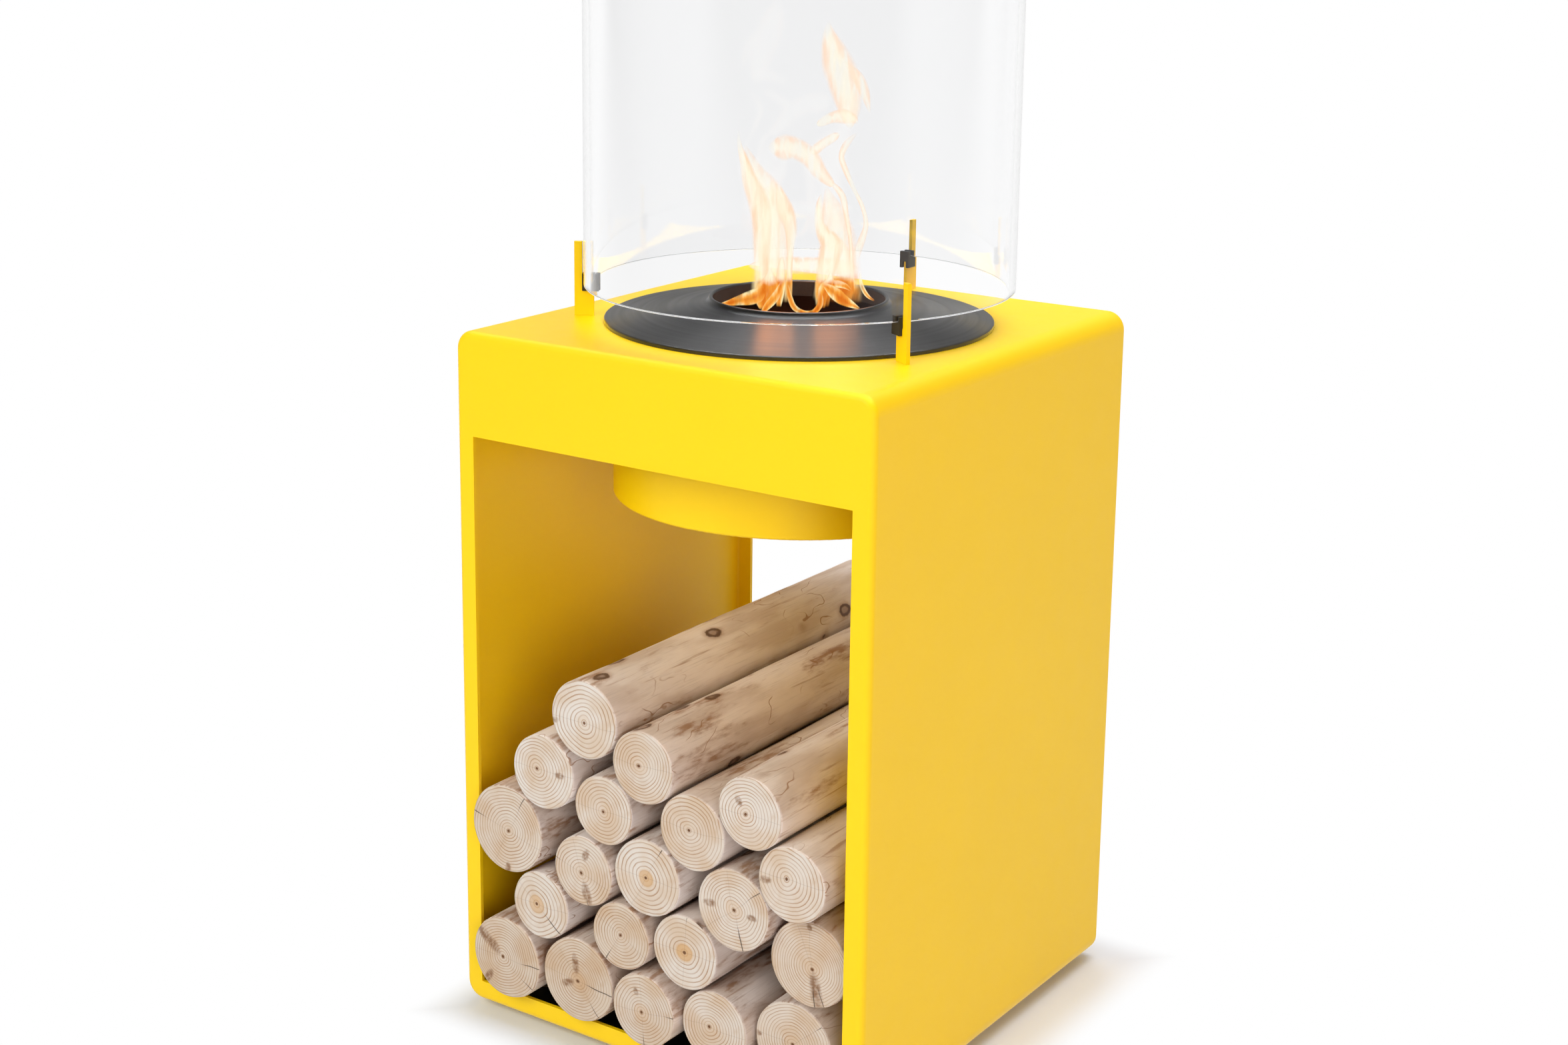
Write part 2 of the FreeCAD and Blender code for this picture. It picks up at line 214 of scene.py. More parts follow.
class Value:
    """Output of a node. Arithmetic with it, or one of its methods, adds a node that works on it."""

    def __init__(self, tree, socket):
        self.tree = tree
        self.socket = socket

    def sums(self, operation, *others):
        """Output of a Math node."""
        made = self.tree.nodes.new("ShaderNodeMath")
        made.operation = operation
        for value, socket in zip((self, *others), made.inputs):
            wire(value, socket)
        return Value(self.tree, made.outputs[0])

    __add__ = partialmethod(sums, "ADD")
    __sub__ = partialmethod(sums, "SUBTRACT")
    __mul__ = partialmethod(sums, "MULTIPLY")
    __truediv__ = partialmethod(sums, "DIVIDE")
    __abs__ = partialmethod(sums, "ABSOLUTE")
    most = partialmethod(sums, "MAXIMUM")

    def ramp(self, low, high, start=0.0, end=1.0):
        """Smooth step of this value from low to high, giving start to end."""
        return put(self.tree, "ShaderNodeMapRange", {"interpolation_type": "SMOOTHSTEP"}, Value=self,
                   From_Min=low, From_Max=high, To_Min=start, To_Max=end)["Result"]

    def choose(self, off, on):
        """The value off where this mask is 0, and on where it is 1."""
        return put(self.tree, "ShaderNodeMapRange", Value=self, To_Min=off, To_Max=on)["Result"]

    def tint(self, first, second):
        """Two colours mixed by this mask."""
        made = self.tree.nodes.new("ShaderNodeMix")
        made.data_type = "RGBA"
        for value, index in ((self, 0), (first, 6), (second, 7)):
            wire(value, made.inputs[index])
        return Value(self.tree, made.outputs[2])

    def stretch(self, scale):
        """This vector or colour with each of its parts scaled."""
        made = self.tree.nodes.new("ShaderNodeVectorMath")
        made.operation = "MULTIPLY"
        wire(self, made.inputs[0])
        wire(scale, made.inputs[1])
        return Value(self.tree, made.outputs[0])

    def cloud(self, scale, detail=3.0, roughness=0.5):
        """Noise over this vector."""
        return put(self.tree, "ShaderNodeTexNoise", Vector=self, Scale=scale, Detail=detail,
                   Roughness=roughness)["Fac"]

    def parts(self):
        """X, Y and Z of this vector."""
        return tuple(put(self.tree, "ShaderNodeSeparateXYZ", Vector=self).values())

    def bump(self, strength, distance):
        """Normal of a surface that is raised by this height."""
        return put(self.tree, "ShaderNodeBump", Strength=strength, Distance=distance, Height=self)["Normal"]


def wire(value, socket):
    """Links a socket to a value, or sets its number or colour."""
    if isinstance(value, Value):
        value.tree.links.new(value.socket, socket)
    elif socket.type == "RGBA":
        socket.default_value = (*value, 1.0)
    else:
        socket.default_value = value


def put(tree, kind, settings=None, **inputs):
    """Outputs of a new node. Settings are its own choices, and inputs are its sockets, with _ for a space."""
    made = tree.nodes.new(kind)
    for key, value in (settings or {}).items():
        setattr(made, key, value)
    for key, value in inputs.items():
        wire(value, made.inputs[key.replace("_", " ")])
    return {output.name: Value(tree, output) for output in made.outputs}


def span(x, y):
    """Length of a flat vector."""
    return (x * x + y * y).sums("SQRT")


def turned(x, y, cos_a, sin_a):
    """A flat place measured along a direction and aside from it."""
    return x * cos_a + y * sin_a, x * sin_a - y * cos_a


def object_place(tree):
    """Object coordinates."""
    return put(tree, "ShaderNodeTexCoord")["Object"]


def attribute(tree, name, output="Vector"):
    """A value that is stored on the mesh."""
    return put(tree, "ShaderNodeAttribute", {"attribute_name": name})[output]


def new_material(name):
    """A node material and its tree."""
    material = bpy.data.materials.new(name)
    material.use_nodes = True
    return material, material.node_tree


def dress(material, **values):
    """Sets or links sockets of a material's shader, with _ for a space, and returns the material."""
    shader = material.node_tree.nodes["Principled BSDF"]
    for key, value in values.items():
        wire(value, shader.inputs[key.replace("_", " ")])
    return material


# Shared effects

def new_group(name, outputs, **inputs):
    """A node group with float inputs, at their defaults, and float outputs, and what its inputs give."""
    tree = bpy.data.node_groups.new(name, "ShaderNodeTree")
    for label, default in inputs.items():
        socket = tree.interface.new_socket(label, in_out="INPUT", socket_type="NodeSocketFloat")
        socket.default_value = default
    for label in outputs:
        tree.interface.new_socket(label, in_out="OUTPUT", socket_type="NodeSocketFloat")
    return tree, put(tree, "NodeGroupInput")


def effect(tree, build, **inputs):
    """Outputs of a shared node group, which build makes, under build's name, at its first use."""
    name = build.__name__
    group = bpy.data.node_groups.get(name) or build(name)
    return put(tree, "ShaderNodeGroup", {"node_tree": group}, **inputs)


def surface_skin(name):
    """Fine skin of a coated, moulded or plated surface: its roughness, height and a slow drift of tone."""
    tree, given = new_group(name, ("Roughness", "Height", "Drift"), Scale=900.0, Roughness=0.45, Spread=0.08)
    place = object_place(tree)
    swing = place.cloud(scale=60.0, detail=4.0) - 0.5
    put(tree, "NodeGroupOutput", Roughness=swing * given["Spread"] + given["Roughness"],
        Height=place.cloud(scale=given["Scale"], detail=2.0), Drift=place.cloud(scale=9.0))
    return tree


def spun_brushing(name):
    """Turned or spun metal: fine streaks round the upright axis, as a height and a mask."""
    tree, given = new_group(name, ("Height", "Streak"), Pitch=0.0006, Sweep=3.0)
    x, y, _ = object_place(tree).parts()
    turn = y.sums("ARCTAN2", x)
    vector = put(tree, "ShaderNodeCombineXYZ", X=span(x, y) / given["Pitch"],
                 Y=turn.sums("COSINE") * given["Sweep"], Z=turn.sums("SINE") * given["Sweep"])["Vector"]
    put(tree, "NodeGroupOutput", Height=vector.cloud(scale=1.0, detail=2.0), Streak=vector.cloud(scale=0.12))
    return tree


# Materials

def coat_material(finish):
    """Satin powder coat with a fine orange peel."""
    material, tree = new_material("satin_yellow_coat")
    out = effect(tree, surface_skin, Scale=1100.0, Roughness=0.44, Spread=0.10)
    base = Vector(finish.coat)
    return dress(material, Base_Color=out["Drift"].ramp(0.3, 0.7).tint(base * 0.985, base),
                 Roughness=out["Roughness"], Normal=out["Height"].bump(strength=0.12, distance=0.3 * MM),
                 Specular_IOR_Level=0.38)


def plain_material(name, base, scale, roughness, depth, metallic=0.0):
    """Moulded rubber or plastic, felt, painted mouth shade or zinc, with a fine skin."""
    material, tree = new_material(name)
    out = effect(tree, surface_skin, Scale=scale, Roughness=roughness, Spread=0.16)
    base = Vector(base)
    return dress(material, Base_Color=out["Drift"].tint(base * 0.8, base * 1.2), Roughness=out["Roughness"],
                 Normal=out["Height"].bump(strength=0.35, distance=depth), Metallic=metallic)


def spun_material(name, base, roughness, metallic, anisotropy):
    """Metal brushed round the upright axis."""
    material, tree = new_material(name)
    out = effect(tree, spun_brushing)
    base = Vector(base)
    rough = out["Streak"].ramp(0.25, 0.75, start=roughness - 0.04, end=roughness + 0.04)
    tangent = put(tree, "ShaderNodeTangent", {"direction_type": "RADIAL", "axis": "Z"})["Tangent"]
    return dress(material, Base_Color=out["Streak"].tint(base * 0.84, base * 1.16), Roughness=rough,
                 Normal=out["Height"].bump(strength=0.10, distance=0.2 * MM), Metallic=metallic,
                 Anisotropic=anisotropy, Anisotropic_Rotation=0.25, Tangent=tangent)


def glass_material(finish):
    """Clear glass with a trace of haze in its tint."""
    material, tree = new_material("polished_glass")
    dust = object_place(tree).cloud(scale=26.0, detail=4.0)
    return dress(material, Base_Color=dust.tint(finish.haze, finish.glass), Roughness=0.0, IOR=1.38,
                 Transmission_Weight=1.0)


def ground_edge_material(finish):
    """Ground edge of the glass, with a painted glow: a weak white emission makes it show as a pale line."""
    material, tree = new_material("ground_glass_edge_painted_glow")
    speck = object_place(tree).cloud(scale=900.0, detail=2.0)
    return dress(material, Base_Color=speck.tint(finish.grit, finish.ground),
                 Roughness=speck.ramp(0.2, 0.8, start=0.35, end=0.6), Emission_Color=WHITE,
                 Emission_Strength=0.3)


def ring_place(tree, grain, wobble):
    """Place across the log from its pith, a little uneven, and its distance from the pith."""
    drift = put(tree, "ShaderNodeTexNoise", Vector=grain, Scale=40.0, Detail=1.0)["Color"].parts()
    place = grain.parts()
    x, z = ((drift[axis] - 0.5) * wobble + place[axis] for axis in (0, 2))
    return x, z, span(x, z)


def ring_lines(tree, grain, radius, spacing):
    """Mask of the growth rings' dark lines. Each ring, and each stretch of it, is a little different."""
    rings = (grain.cloud(scale=240.0, detail=1.0) * (0.5 * MM) + radius) / spacing
    phase = rings.sums("FRACT")
    chance = put(tree, "ShaderNodeTexWhiteNoise", {"noise_dimensions": "1D"}, W=rings.sums("FLOOR"))["Value"]
    patch = grain.cloud(scale=55.0, detail=2.0)
    line = phase.ramp(0.55, 0.90) * phase.ramp(1.0, 0.93)
    return line * chance.ramp(0.0, 1.0, start=0.6) * patch.ramp(0.3, 0.7, start=0.55)


def split_mask(tree, x, z, name, width):
    """A drying crack: a thin wedge along one direction from the pith, from a starting radius outwards."""
    cos_a, sin_a, start = attribute(tree, name).parts()
    along, aside = turned(x, z, cos_a, sin_a)
    open_by = (along - start).ramp(0.0, 12 * MM) * width
    return (open_by - abs(aside)).ramp(-0.2 * MM, 0.2 * MM)


def knot_mask(tree, x, z, name):
    """A cut branch: a blob drawn out from the pith, 1 in its middle."""
    knot_x, knot_z, half = attribute(tree, name).parts()
    far = span(knot_x, knot_z)
    along, aside = turned(x - knot_x, z - knot_z, knot_x / far, knot_z / far)
    shape = span(along / half, aside / (half * 0.22 + 1.6 * MM))
    return (shape * shape).ramp(1.5, 0.1)


def end_grain_material(wood, wobble):
    """Sawn end of a pine log: growth rings, a warm heart, a dark pith, knots, drying cracks and saw marks."""
    material, tree = new_material("pine_sawn_end")
    grain = attribute(tree, "grain")
    tone, warmth, spacing = attribute(tree, "habit").parts()
    x, z, radius = ring_place(tree, grain, wobble)
    line = ring_lines(tree, grain, radius, spacing)
    shade = grain.cloud(scale=38.0).ramp(0.35, 0.7).tint(wood.sapwood, wood.stained)
    shade = line.tint(shade, wood.latewood)
    core = radius.ramp(8.8 * MM, 5.2 * MM) * warmth * 0.75
    shade = core.tint(shade, wood.heart)
    smear = grain.stretch((1.0, 0.0, 1.0)).cloud(scale=70.0, detail=5.0)
    shade = smear.ramp(0.58, 0.78, end=0.4).tint(shade, wood.smear)
    knot = knot_mask(tree, x, z, "knot_a").most(knot_mask(tree, x, z, "knot_b"))
    speckle = grain.cloud(scale=300.0).ramp(0.35, 0.65, start=0.4)
    shade = (knot * speckle * 0.9).tint(shade, wood.knot)
    shade = radius.ramp(1.7 * MM, 0.8 * MM).tint(shade, wood.pith)
    crack = split_mask(tree, x, z, "split_a", 0.4 * MM).most(split_mask(tree, x, z, "split_b", 0.3 * MM))
    shade = (crack * 0.85).tint(shade, wood.crack)
    shade = tone.tint(shade, shade.stretch(wood.end_tan))
    saw = grain.stretch((160.0, 0.0, 2600.0)).cloud(scale=1.0, detail=2.0)
    fuzz = grain.cloud(scale=1800.0, detail=2.0)
    height = saw * 0.5 + fuzz * 0.4 + line - crack * 3.0
    return dress(material, Base_Color=shade, Normal=height.bump(strength=0.35, distance=0.3 * MM),
                 Roughness=fuzz.ramp(0.2, 0.8, start=0.62, end=0.82), Specular_IOR_Level=0.3)


def peeled_material(wood):
    """Peeled side of a pine log: long fibres, knots, peeling scars and brown remains of the inner bark, which
    with the side's tan also paint shade on the lower logs.
    """
    material, tree = new_material("pine_peeled_side")
    grain = attribute(tree, "grain")
    tone, _, _ = attribute(tree, "habit").parts()
    rind = attribute(tree, "rind", "Fac")

    def drawn_out(share, scale, detail=4.0, roughness=0.5):
        """A noise that is drawn out along the log."""
        return grain.stretch((1.0, share, 1.0)).cloud(scale, detail, roughness)

    band = drawn_out(0.22, scale=62.0)
    shade = band.ramp(0.38, 0.66).tint(wood.peeled, wood.tanned)
    fibre = drawn_out(0.03, scale=1100.0, detail=3.0)
    shade = fibre.ramp(0.5, 0.75, end=0.35).tint(shade, Vector(wood.tanned) * 0.72)
    thread = drawn_out(0.05, scale=260.0)
    shade = thread.ramp(0.60, 0.72, end=0.6).tint(shade, wood.bast)
    streak = drawn_out(0.2, scale=46.0, detail=6.0, roughness=0.62)
    flecks = drawn_out(0.25, scale=240.0)
    # The rind share, high on the lower logs, adds bark remains that also paint the shade between the logs
    bast = (rind * 0.13 + streak).ramp(0.56, 0.69) * flecks.ramp(0.36, 0.62, start=0.15, end=0.85)
    shade = bast.tint(shade, wood.bast)
    trail = abs(drawn_out(0.5, scale=42.0, detail=2.0) - 0.52)
    scar = trail.ramp(0.010, 0.002) * grain.cloud(scale=24.0, detail=2.0).ramp(0.52, 0.62, end=0.8)
    shade = scar.tint(shade, wood.bast)
    spot = put(tree, "ShaderNodeTexVoronoi", {"feature": "F1"}, Vector=grain.stretch((1.0, 0.62, 1.0)),
               Scale=24.0)["Distance"]
    ripple = grain.cloud(scale=170.0) * 0.07 + spot
    shade = ripple.ramp(0.25, 0.14, end=0.55).tint(shade, wood.bast)
    eye = ripple.ramp(0.175, 0.145) * ripple.ramp(0.085, 0.12, start=0.4)
    shade = (eye * 0.9).tint(shade, wood.eye)
    # Painted shade, partly tan: the side's tint grows with the log's tone, which is mostly higher on the
    # lower logs
    shade = tone.tint(shade, shade.stretch(wood.side_tan))
    height = fibre * 0.5 + bast * 0.8 + eye
    return dress(material, Base_Color=shade, Normal=height.bump(strength=0.45, distance=0.5 * MM),
                 Roughness=band.ramp(0.2, 0.8, start=0.55, end=0.75), Specular_IOR_Level=0.3)


def flame_material(flame):
    """Glowing gas: orange with yellow rims in the burner's mouth, pale cream with peach rims above it."""
    material, tree = new_material("flame_gas")
    height, dense, aside = attribute(tree, "lick").parts()
    place = object_place(tree)
    wisp = place.stretch((1.0, 1.0, 0.15)).cloud(scale=190.0)
    swing = place.stretch((1.0, 1.0, 0.35)).cloud(scale=100.0) - 0.5
    rim = (wisp - 0.5) * 2.4 + aside
    flicker = swing * 3.0 + aside * 0.7
    root = (swing * (8 * MM) + height).ramp(flame.root_top, flame.root_full)
    hot = flicker.ramp(-0.2, 0.6).tint(flame.base, flame.heart)
    hot = flicker.ramp(0.35, 0.95).tint(hot, flame.spark)
    pale = rim.ramp(0.25, 0.9).tint(flame.core, flame.body)
    shade = root.tint(pale, hot)
    soft = aside.ramp(1.0, root * 0.16 + 0.62)
    thin = wisp.ramp(0.35, 0.6, start=0.4)
    fill = root.ramp(0.0, 1.0, start=0.7, end=0.92)
    path = put(tree, "ShaderNodeLightPath")
    sharp = path["Is Singular Ray"].most(path["Is Transmission Ray"])
    mirrored = (path["Is Glossy Ray"] - sharp).ramp(0.0, 1.0)
    strength = mirrored * flame.mirror + path["Is Diffuse Ray"] * flame.cast + flame.glow
    return dress(material, Base_Color=BLACK, Roughness=1.0, Specular_IOR_Level=0.0,
                 Alpha=soft * thin * fill * dense, Emission_Color=mirrored.tint(shade, flame.image),
                 Emission_Strength=strength)


def ray_masks(tree):
    """Masks of the rays that show the backdrop straight or through glass, and of the reflected rays."""
    path = put(tree, "ShaderNodeLightPath")
    clear = path["Is Camera Ray"].most(path["Is Transmission Ray"])
    return clear, path["Glossy Depth"].sums("GREATER_THAN", 0.5)


def floor_material(studio):
    """Pale floor, white past a painted shadow band round the housing. In reflections it is dim in front and
    bright behind.
    """
    material, tree = new_material("pale_floor")
    place = object_place(tree)
    x, y, _ = place.parts()
    # Painted shadow band: inside it the floor has almost no white glow, so it is greyer and keeps the real
    # shadow
    away = abs(x - studio.shade_shift).most(abs(y))
    clear, mirrored = ray_masks(tree)
    white = away.ramp(studio.shade_start, studio.shade_end, start=0.02) * clear
    glow = mirrored.choose(white, y.ramp(-2.5, 1.0, start=studio.reflected_front))
    pale = Vector(studio.floor)
    lit = place.cloud(scale=3.0, detail=2.0).tint(pale * 0.99, pale)
    return dress(material, Base_Color=glow.most(mirrored).tint(lit, BLACK), Roughness=0.9,
                 Specular_IOR_Level=0.0, Emission_Color=WHITE, Emission_Strength=glow)


# Mesh helpers

def piece(name, bm, materials, body, nodes=()):
    """Makes a mesh object from a bmesh, at the origin, riding on a body."""
    made = mesh_object(name, bm, materials)
    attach(made, body)
    if nodes:
        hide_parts(*nodes)
    return made


def mesh_object(name, bm, materials):
    """Turns a bmesh into an object of the scene."""
    mesh = bpy.data.meshes.new(name)
    bm.to_mesh(mesh)
    bm.free()
    for material in materials:
        mesh.materials.append(material)
    made = bpy.data.objects.new(name, mesh)
    bpy.context.scene.collection.objects.link(made)
    return made


def spin_profile(points):
    """Closed ring of revolution about Z from an (r, z) outline, in metres."""
    bm = bmesh.new()
    verts = [bm.verts.new((r, 0.0, z)) for r, z in points]
    edges = [bm.edges.new((a, b)) for a, b in zip(verts, verts[1:] + verts[:1])]
    bmesh.ops.spin(bm, geom=verts + edges, cent=(0, 0, 0), axis=(0, 0, 1), angle=2 * math.pi,
                   steps=ROUND_STEPS, use_merge=True, use_duplicate=False)
    bmesh.ops.remove_doubles(bm, verts=bm.verts, dist=SAME)
    bmesh.ops.recalc_face_normals(bm, faces=bm.faces)
    return bm


def round_rings(bm, corners):
    """Rounds a spun shape's ring edges at (r, z, width, segments) corners."""
    def at_corner(vert, r, z):
        return abs(math.hypot(vert.co.x, vert.co.y) - r) < SAME and abs(vert.co.z - z) < SAME

    for r, z, width, segments in corners:
        edges = [edge for edge in bm.edges if all(at_corner(vert, r, z) for vert in edge.verts)]
        if not edges:
            raise RuntimeError("No ring of edges to round at radius %.4f, height %.4f" % (r, z))
        round_edges(bm, edges, width, segments)


def round_edges(bm, edges, width, segments):
    """Rounds edges over a width."""
    bmesh.ops.bevel(bm, geom=edges, offset=width, offset_type="OFFSET", segments=segments, profile=0.5,
                    affect="EDGES", material=-1, clamp_overlap=True)


def smooth(bm, degrees=18):
    """Smooth faces, with sharp edges where they turn by more than an angle."""
    for face in bm.faces:
        face.smooth = True
    for edge in bm.edges:
        edge.smooth = len(edge.link_faces) != 2 or edge.calc_face_angle(0.0) < math.radians(degrees)


def direction(degrees):
    """Direction on the front, as its parts to the right and up."""
    return math.cos(math.radians(degrees)), math.sin(math.radians(degrees))


def named(start):
    """Names of the CAD nodes that begin with given letters."""
    return [name for name in NODES if name.startswith(start)]


def give(material, *names):
    """Puts a material on CAD nodes."""
    for name in names:
        if name not in NODES:
            raise RuntimeError("The frame has no node named " + name)
        slots = NODES[name].data.materials
        slots.clear()
        slots.append(material)


# Operators

class FIREPLACE_OT_housing(bpy.types.Operator):
    """Finish the housing, its well and the posts in powder coat"""
    bl_idname = "fireplace.housing"
    bl_label = "Housing"

    def execute(self, context):
        coat = coat_material(context.scene.fireplace_finish)
        give(coat, "housing_shell", "burner_well", *named("glass_post"))
        return {"FINISHED"}


class FIREPLACE_OT_fittings(bpy.types.Operator):
    """Finish the mat, saddles, feet, fixings and the inside of the burner"""
    bl_idname = "fireplace.fittings"
    bl_label = "Fittings"

    def execute(self, context):
        finish = context.scene.fireplace_finish
        rubber = plain_material("moulded_rubber", finish.rubber, scale=1500.0, roughness=0.72, depth=0.4 * MM)
        plastic = plain_material("moulded_plastic", finish.rubber, scale=2200.0, roughness=0.5,
                                 depth=0.2 * MM)
        zinc = plain_material("zinc_plate", finish.zinc, scale=700.0, roughness=0.32, depth=0.1 * MM,
                              metallic=1.0)
        felt = plain_material("ceramic_felt", finish.felt, scale=420.0, roughness=0.9, depth=2 * MM)
        steel = spun_material("dark_brown_steel", finish.tank, roughness=0.46, metallic=0.9, anisotropy=0.4)
        # The mat under the logs is black rubber; its black also stands for the shade on the floor between the
        # bottom logs, as painted shade
        give(rubber, "floor_mat", *named("glass_saddle"))
        give(plastic, *set(named("foot_")) - {"foot_nut_set"})
        give(zinc, "foot_nut_set", "well_nut_set", "well_stud_set")
        give(felt, "absorber_pad")
        give(steel, "burner_tank", "perforated_cover")
        return {"FINISHED"}


class FIREPLACE_OT_burner_plate(bpy.types.Operator):
    """Model the burner plate: a spun cone with a rolled collar"""
    bl_idname = "fireplace.burner_plate"
    bl_label = "Burner plate"

    def execute(self, context):
        size = context.scene.fireplace_burner
        finish = context.scene.fireplace_finish
        low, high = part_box("burner_top_plate")
        rim, foot, lip = high.x, low.z, high.z
        inner_rim = rim - size.sheet
        edge, base = foot + size.edge, lip - size.lip
        slope = (base - edge) / (rim - size.collar)
        near_root = size.collar + size.root_support
        bm = spin_profile([
            (inner_rim, foot), (rim, foot), (rim, edge),
            (rim - size.rim_support, edge + slope * size.rim_support),
            (near_root, edge + slope * (rim - near_root)),
            (size.collar, base), (size.collar, lip), (size.mouth, lip), (size.mouth, base - size.drop),
            (size.collar, base - size.drop), (size.collar, base - size.sheet),
            (inner_rim, foot + size.hollow)])
        round_rings(bm, [(rim, edge, size.edge_round, 4), (size.collar, base, size.root_round, 6),
                         (size.collar, lip, size.lip_round, 6), (size.mouth, lip, size.lip_round, 6)])
        smooth(bm, degrees=30)
        # Painted shade: faces inside the collar, below a bare strip under the lip, get the near-black mouth
        # shade
        inside = size.collar - 0.1 * MM
        for face in bm.faces:
            centre = face.calc_center_median()
            in_mouth_shade = math.hypot(centre.x, centre.y) < inside and centre.z < lip - size.soot_start
            face.material_index = int(in_mouth_shade)
        plate = spun_material("dark_spun_steel", finish.plate, roughness=0.36, metallic=0.8, anisotropy=0.85)
        soot = plain_material("soot", finish.soot, scale=900.0, roughness=0.8, depth=0.3 * MM)
        piece("burner_plate_spun", bm, [plate, soot], "burner", ["burner_top_plate"])
        return {"FINISHED"}


class FIREPLACE_OT_glass(bpy.types.Operator):
    """Model the glass screen with its ground edges"""
    bl_idname = "fireplace.glass"
    bl_label = "Glass screen"

    def execute(self, context):
        size = context.scene.fireplace_glass
        low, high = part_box("glass_screen")
        outer, inner = high.x, high.x - size.wall
        bm = spin_profile([(inner, low.z), (outer, low.z), (outer, high.z), (inner, high.z)])
        round_rings(bm, [(r, z, size.arris, 2) for r in (inner, outer) for z in (low.z, high.z)])
        for face in bm.faces:
            face.material_index = int(abs(face.normal.z) > LEVEL)
        smooth(bm)
        finish = context.scene.fireplace_finish
        materials = [glass_material(finish), ground_edge_material(finish)]
        piece("glass_cylinder", bm, materials, "screen", ["glass_screen"])
        return {"FINISHED"}


# How each log grew and dried, as its front end shows: tone from pale to tan, brown rind left on its side,
# warmth of the heart, ring spacing (mm), the pith's place (x, z in mm), cracks as (degrees, start) and knots
# as (degrees, start, end), with starts and ends as shares of the radius. Tone and rind are mostly higher on
# the lower logs, so that their sides also carry painted shade of the gaps between the logs
Mark = namedtuple("Mark", "tone rind warmth rings pith cracks knots")
# Dents in a log's side: scales of two noises, the fine one's share, and their scale along the log
BROAD = 0.9
FINE = 3.1
FINE_SHARE = 0.35
DRAWN_OUT = 0.35
# Mean dent, and how far the noises sway it, as shares of the unevenness
MEAN_DENT = 0.5
DENT_SWING = 0.37
# A crack and a knot that lie outside the log
NO_CRACK = (0, 9.0)
NO_KNOT = (0, 8.9, 9.0)
# Step between the logs in the grain's noise (m), and greatest random shift of the dents' noises
GRAIN_STEP = 0.83
DENT_SHIFT = 9
LOG_MARKS = {
    "log_01": Mark(0.45, 0.9, 0.1, 2.2, (-4, 0), ((0, 0.5), (325, 0.6)),
                   ((143, 0.1, 1.0), (236, 0.5, 1.0))),
    "log_02": Mark(0.5, 0.9, 0.35, 2.3, (0, -1), ((355, 0.12), (310, 0.45)),
                   ((100, 0.15, 0.62), (200, 0.1, 0.5))),
    "log_03": Mark(0.3, 0.7, 0.3, 2.4, (-1, -1), ((5, 0.65), (275, 0.5)), ((112, 0.45, 0.65),)),
    "log_04": Mark(0.15, 1.0, 0.15, 2.5, (-4, 0), (), ()),
    "log_05": Mark(0.3, 0.9, 0.2, 2.3, (0, 1), ((40, 0.7),), ((182, 0.8, 1.0),)),
    "log_06": Mark(0.05, 0.9, 0.75, 3.6, (-4, 0), ((322, 0.25),), ()),
    "log_07": Mark(0.45, 0.7, 0.1, 2.3, (0, 1), ((238, 0.5), (155, 0.75)), ()),
    "log_08": Mark(0.05, 0.6, 1.0, 3.3, (0, 0), ((86, 0.75),), ()),
    "log_09": Mark(0.4, 1.0, 0.2, 2.1, (2, -2), ((276, 0.3), (292, 0.3)),
                   ((283, 0.05, 1.0), (95, 0.85, 1.0))),
    "log_10": Mark(0.3, 1.0, 0.1, 2.4, (2, -1), ((166, 0.6), (62, 0.5)), ((268, 0.7, 1.0),)),
    "log_11": Mark(0.25, 0.8, 0.15, 2.6, (-2, -1), ((165, 0.6), (286, 0.6)),
                   ((75, 0.35, 0.75), (290, 0.25, 0.95))),
    "log_12": Mark(0.05, 0.4, 0.9, 3.4, (0, 0), ((60, 0.6),), ()),
    "log_13": Mark(0.2, 0.8, 0.35, 2.4, (1, 1), ((284, 0.3), (40, 0.4)),
                   ((350, 0.35, 0.65), (183, 0.5, 0.85))),
    "log_14": Mark(0.1, 0.1, 0.05, 3.0, (-4, 4), (), ((195, 0.45, 0.8),)),
    "log_15": Mark(0.15, 0.4, 0.15, 2.6, (0, 0), (), ()),
    "log_16": Mark(0.2, 0.5, 0.05, 2.7, (-3, 2), (), ()),
    "log_17": Mark(0.0, 0.3, 0.05, 2.6, (-5, 2), (), ((358, 0.55, 0.85),)),
    "log_18": Mark(0.25, 0.4, 0.25, 2.5, (-3, 2), (), ()),
    "log_19": Mark(0.1, 0.2, 0.2, 2.5, (-3, -1), (), ((127, 0.25, 0.55),)),
    "log_20": Mark(0.0, 0.2, 0.1, 3.2, (0, -2), (), ((188, 0.75, 1.0),)),
}


